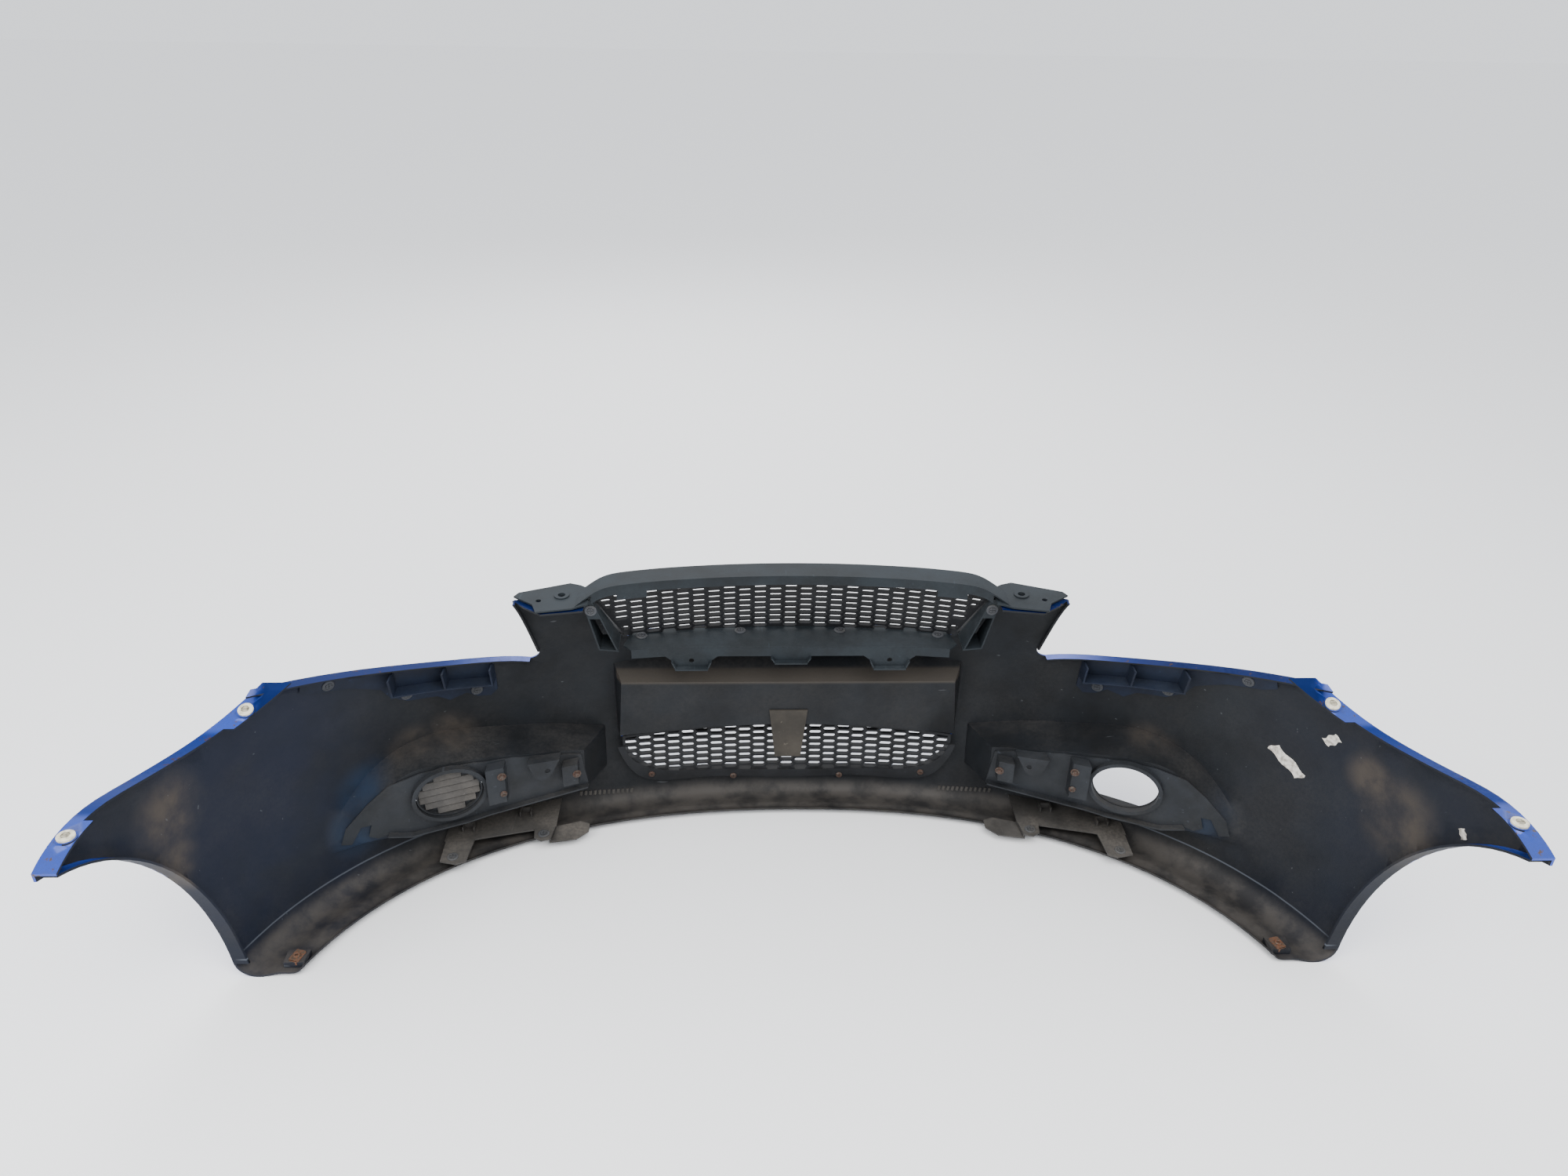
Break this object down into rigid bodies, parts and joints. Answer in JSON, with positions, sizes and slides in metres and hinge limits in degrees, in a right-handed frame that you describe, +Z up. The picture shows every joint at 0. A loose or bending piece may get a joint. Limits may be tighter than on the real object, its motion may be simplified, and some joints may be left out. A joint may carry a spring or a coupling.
{
  "type": "bumper cover",
  "caption": "Moulded front bumper cover with slotted upper and lower grilles, fog-lamp recesses, number-plate recess, brackets and wing grommets.",
  "frame": {"origin": "on the ground under the middle of the cover's box", "axes": "+X to the car's left along the cover's length, -Y to the car's front, +Z up"},
  "size_m": [1.6968, 0.644, 0.463],
  "materials": {
    "cover_plastic": "moulded black polypropylene inside, metallic blue paint on the outer face, dusty",
    "mesh_plastic": "moulded black plastic, fine grain, dusty",
    "frame_plastic": "weathered grey-black moulded plastic",
    "bracket_plastic": "moulded black polypropylene, dusty",
    "grommet_nylon": "aged natural nylon",
    "pin_nylon": "grimy natural nylon",
    "spring_steel": "rusted spring steel",
    "screw_steel": "rusted screw heads",
    "clip_nylon": "black nylon"
  },
  "bodies": {
    "root": {"bumper_cover": "cover_plastic", "upper_grille_mesh": "mesh_plastic", "upper_grille_frame": "frame_plastic", "grille_shelf": "frame_plastic", "lower_grille_mesh": "mesh_plastic", "plate_stay": "bracket_plastic", "headlamp_bracket_left": "bracket_plastic", "headlamp_bracket_right": "bracket_plastic", "fog_bezel_left": "bracket_plastic", "fog_bezel_right": "bracket_plastic", "fog_blanking_cover": "bracket_plastic", "undertray_bracket_left": "bracket_plastic", "undertray_bracket_right": "bracket_plastic", "wing_grommet_front_left": "grommet_nylon", "wing_grommet_front_right": "grommet_nylon", "wing_grommet_rear_left": "grommet_nylon", "wing_grommet_rear_right": "grommet_nylon", "corner_spring_nut_left": "spring_steel", "corner_spring_nut_right": "spring_steel", "shelf_push_clips": "clip_nylon", "lower_grille_screws": "screw_steel", "grille_cheek_clips": "clip_nylon", "headlamp_bracket_clips_left": "clip_nylon", "headlamp_bracket_clips_right": "clip_nylon", "fog_bezel_screws_left": "screw_steel", "fog_bezel_screws_right": "screw_steel", "undertray_clips_left": "clip_nylon", "undertray_clips_right": "clip_nylon"},
    "front_left_pin": {"wing_pin_front_left": "pin_nylon"},
    "front_right_pin": {"wing_pin_front_right": "pin_nylon"},
    "rear_left_pin": {"wing_pin_rear_left": "pin_nylon"},
    "rear_right_pin": {"wing_pin_rear_right": "pin_nylon"}
  },
  "joints": [
    {"name": "front_left_pin_slide", "type": "slide", "parent": "root", "child": "front_left_pin", "axis": [0, 0.342, 0.9397], "range_m": [0, 0.008]},
    {"name": "front_right_pin_slide", "type": "slide", "parent": "root", "child": "front_right_pin", "axis": [0, 0.342, 0.9397], "range_m": [0, 0.008]},
    {"name": "rear_left_pin_slide", "type": "slide", "parent": "root", "child": "rear_left_pin", "axis": [0, 0, 1], "range_m": [0, 0.008]},
    {"name": "rear_right_pin_slide", "type": "slide", "parent": "root", "child": "rear_right_pin", "axis": [0, 0, 1], "range_m": [0, 0.008]}
  ]
}
